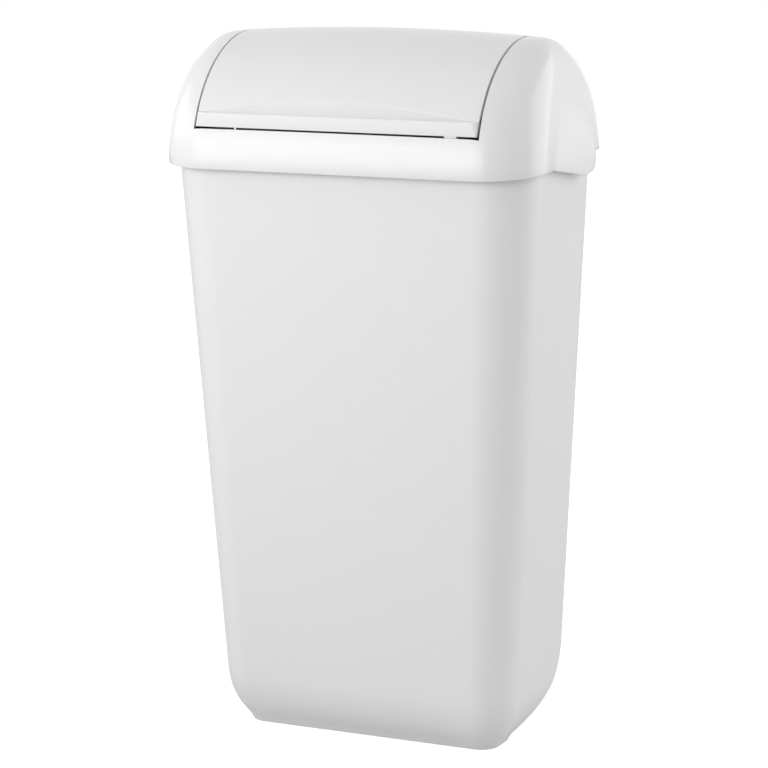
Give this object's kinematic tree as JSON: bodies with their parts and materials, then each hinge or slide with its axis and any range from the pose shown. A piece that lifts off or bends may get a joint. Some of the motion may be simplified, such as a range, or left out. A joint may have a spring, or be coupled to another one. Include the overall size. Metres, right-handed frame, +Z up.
{
  "type": "swing-lid waste bin",
  "caption": "White moulded waste bin with a flat back, tapered tub, lift-off domed hood and an inward swinging flap with a lipped edge.",
  "frame": {"origin": "middle of the bin's outline, on the floor", "axes": "+Z up; -Y is the front, where the flap's lip is; +X is the right side seen from the front of the picture"},
  "size_m": [0.34, 0.1982, 0.5894],
  "materials": {
    "tub_plastic": "fine moulded satin",
    "hood_plastic": "smooth semi-gloss",
    "ring_plastic": "satin",
    "pin_plastic": "natural satin"
  },
  "bodies": {
    "bin": {"bin_body": "tub_plastic", "bag_ring": "ring_plastic"},
    "hood": {"hood": "hood_plastic"},
    "flap": {"swing_flap": "hood_plastic", "pivot_pin_left": "pin_plastic", "pivot_pin_right": "pin_plastic"}
  },
  "joints": [
    {"name": "hood_lift", "type": "slide", "parent": "bin", "child": "hood", "axis": [0, 0, 1], "range_m": [0, 0.15]},
    {"name": "flap_swing", "type": "hinge", "parent": "hood", "child": "flap", "pos_m": [0, -0.037, 0.561], "axis": [1, 0, 0], "range_deg": [0, 75]}
  ]
}
